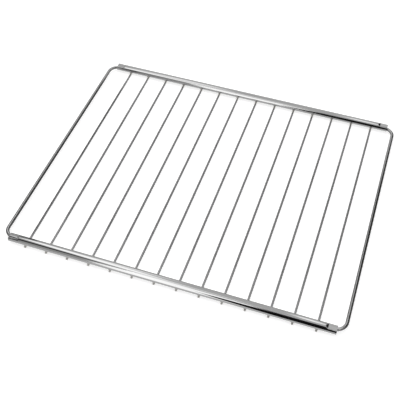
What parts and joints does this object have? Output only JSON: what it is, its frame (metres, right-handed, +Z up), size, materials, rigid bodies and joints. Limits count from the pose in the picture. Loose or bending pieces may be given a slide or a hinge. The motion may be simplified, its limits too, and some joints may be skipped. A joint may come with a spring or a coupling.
{
  "type": "oven shelf rack",
  "caption": "Extendable oven shelf of chrome wire: oval rails carry welded cross wires, and bent wire end frames slide out of the rails' ends to fit the oven's width.",
  "frame": {"origin": "middle of the shelf, on the surface that its cross wires stand on, with both end frames pushed in", "axes": "+X along the rails to the right, +Y from front to back along the cross wires, +Z up"},
  "size_m": [0.3848, 0.3194, 0.009],
  "materials": {
    "rail_chrome": "bright nickel-chrome plate on steel tube",
    "wire_chrome": "bright nickel-chrome plate on drawn wire",
    "frame_chrome": "bright nickel-chrome plate on bent wire"
  },
  "bodies": {
    "grid": {"front_rail": "rail_chrome", "rear_rail": "rail_chrome", "cross_wire_01": "wire_chrome", "cross_wire_02": "wire_chrome", "cross_wire_03": "wire_chrome", "cross_wire_04": "wire_chrome", "cross_wire_05": "wire_chrome", "cross_wire_06": "wire_chrome", "cross_wire_07": "wire_chrome", "cross_wire_08": "wire_chrome", "cross_wire_09": "wire_chrome", "cross_wire_10": "wire_chrome", "cross_wire_11": "wire_chrome", "cross_wire_12": "wire_chrome", "cross_wire_13": "wire_chrome", "cross_wire_14": "wire_chrome"},
    "left_slider": {"left_frame": "frame_chrome"},
    "right_slider": {"right_frame": "frame_chrome"}
  },
  "joints": [
    {"name": "left_slide", "type": "slide", "parent": "grid", "child": "left_slider", "axis": [-1, 0, 0], "range_m": [0, 0.1]},
    {"name": "right_slide", "type": "slide", "parent": "grid", "child": "right_slider", "axis": [1, 0, 0], "range_m": [0, 0.1]}
  ]
}
